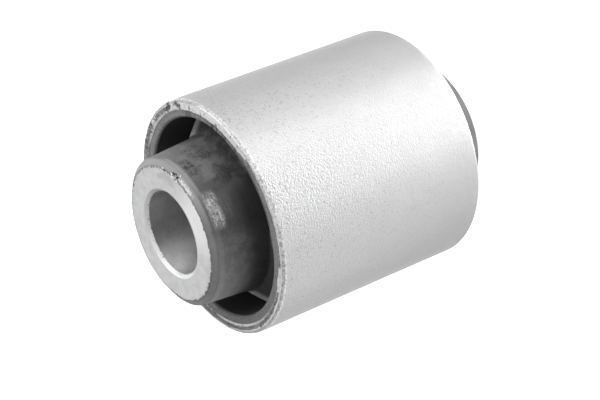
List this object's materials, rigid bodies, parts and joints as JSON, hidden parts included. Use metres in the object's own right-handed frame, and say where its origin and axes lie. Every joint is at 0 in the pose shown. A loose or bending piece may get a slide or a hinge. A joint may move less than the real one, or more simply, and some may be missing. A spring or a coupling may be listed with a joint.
{
  "type": "rubber metal bush",
  "caption": "Suspension bush: a thick inner sleeve for a bolt, bonded rubber with three through voids, and a plain outer sleeve to press into an eye.",
  "frame": {"origin": "centre of the inner sleeve's lower end face, which the bush stands on", "axes": "+Z along the bore, from the lower end face to the upper one; -Y through the middle of one void"},
  "size_m": [0.04, 0.04, 0.0548],
  "materials": {
    "blasted_steel": "grit blasted and phosphated, matt light grey",
    "bonded_rubber": "moulded, satin to matt",
    "turned_steel": "turned and faced, satin"
  },
  "bodies": {
    "root": {"outer_sleeve": "blasted_steel", "rubber_body": "bonded_rubber", "inner_sleeve": "turned_steel"}
  },
  "joints": []
}
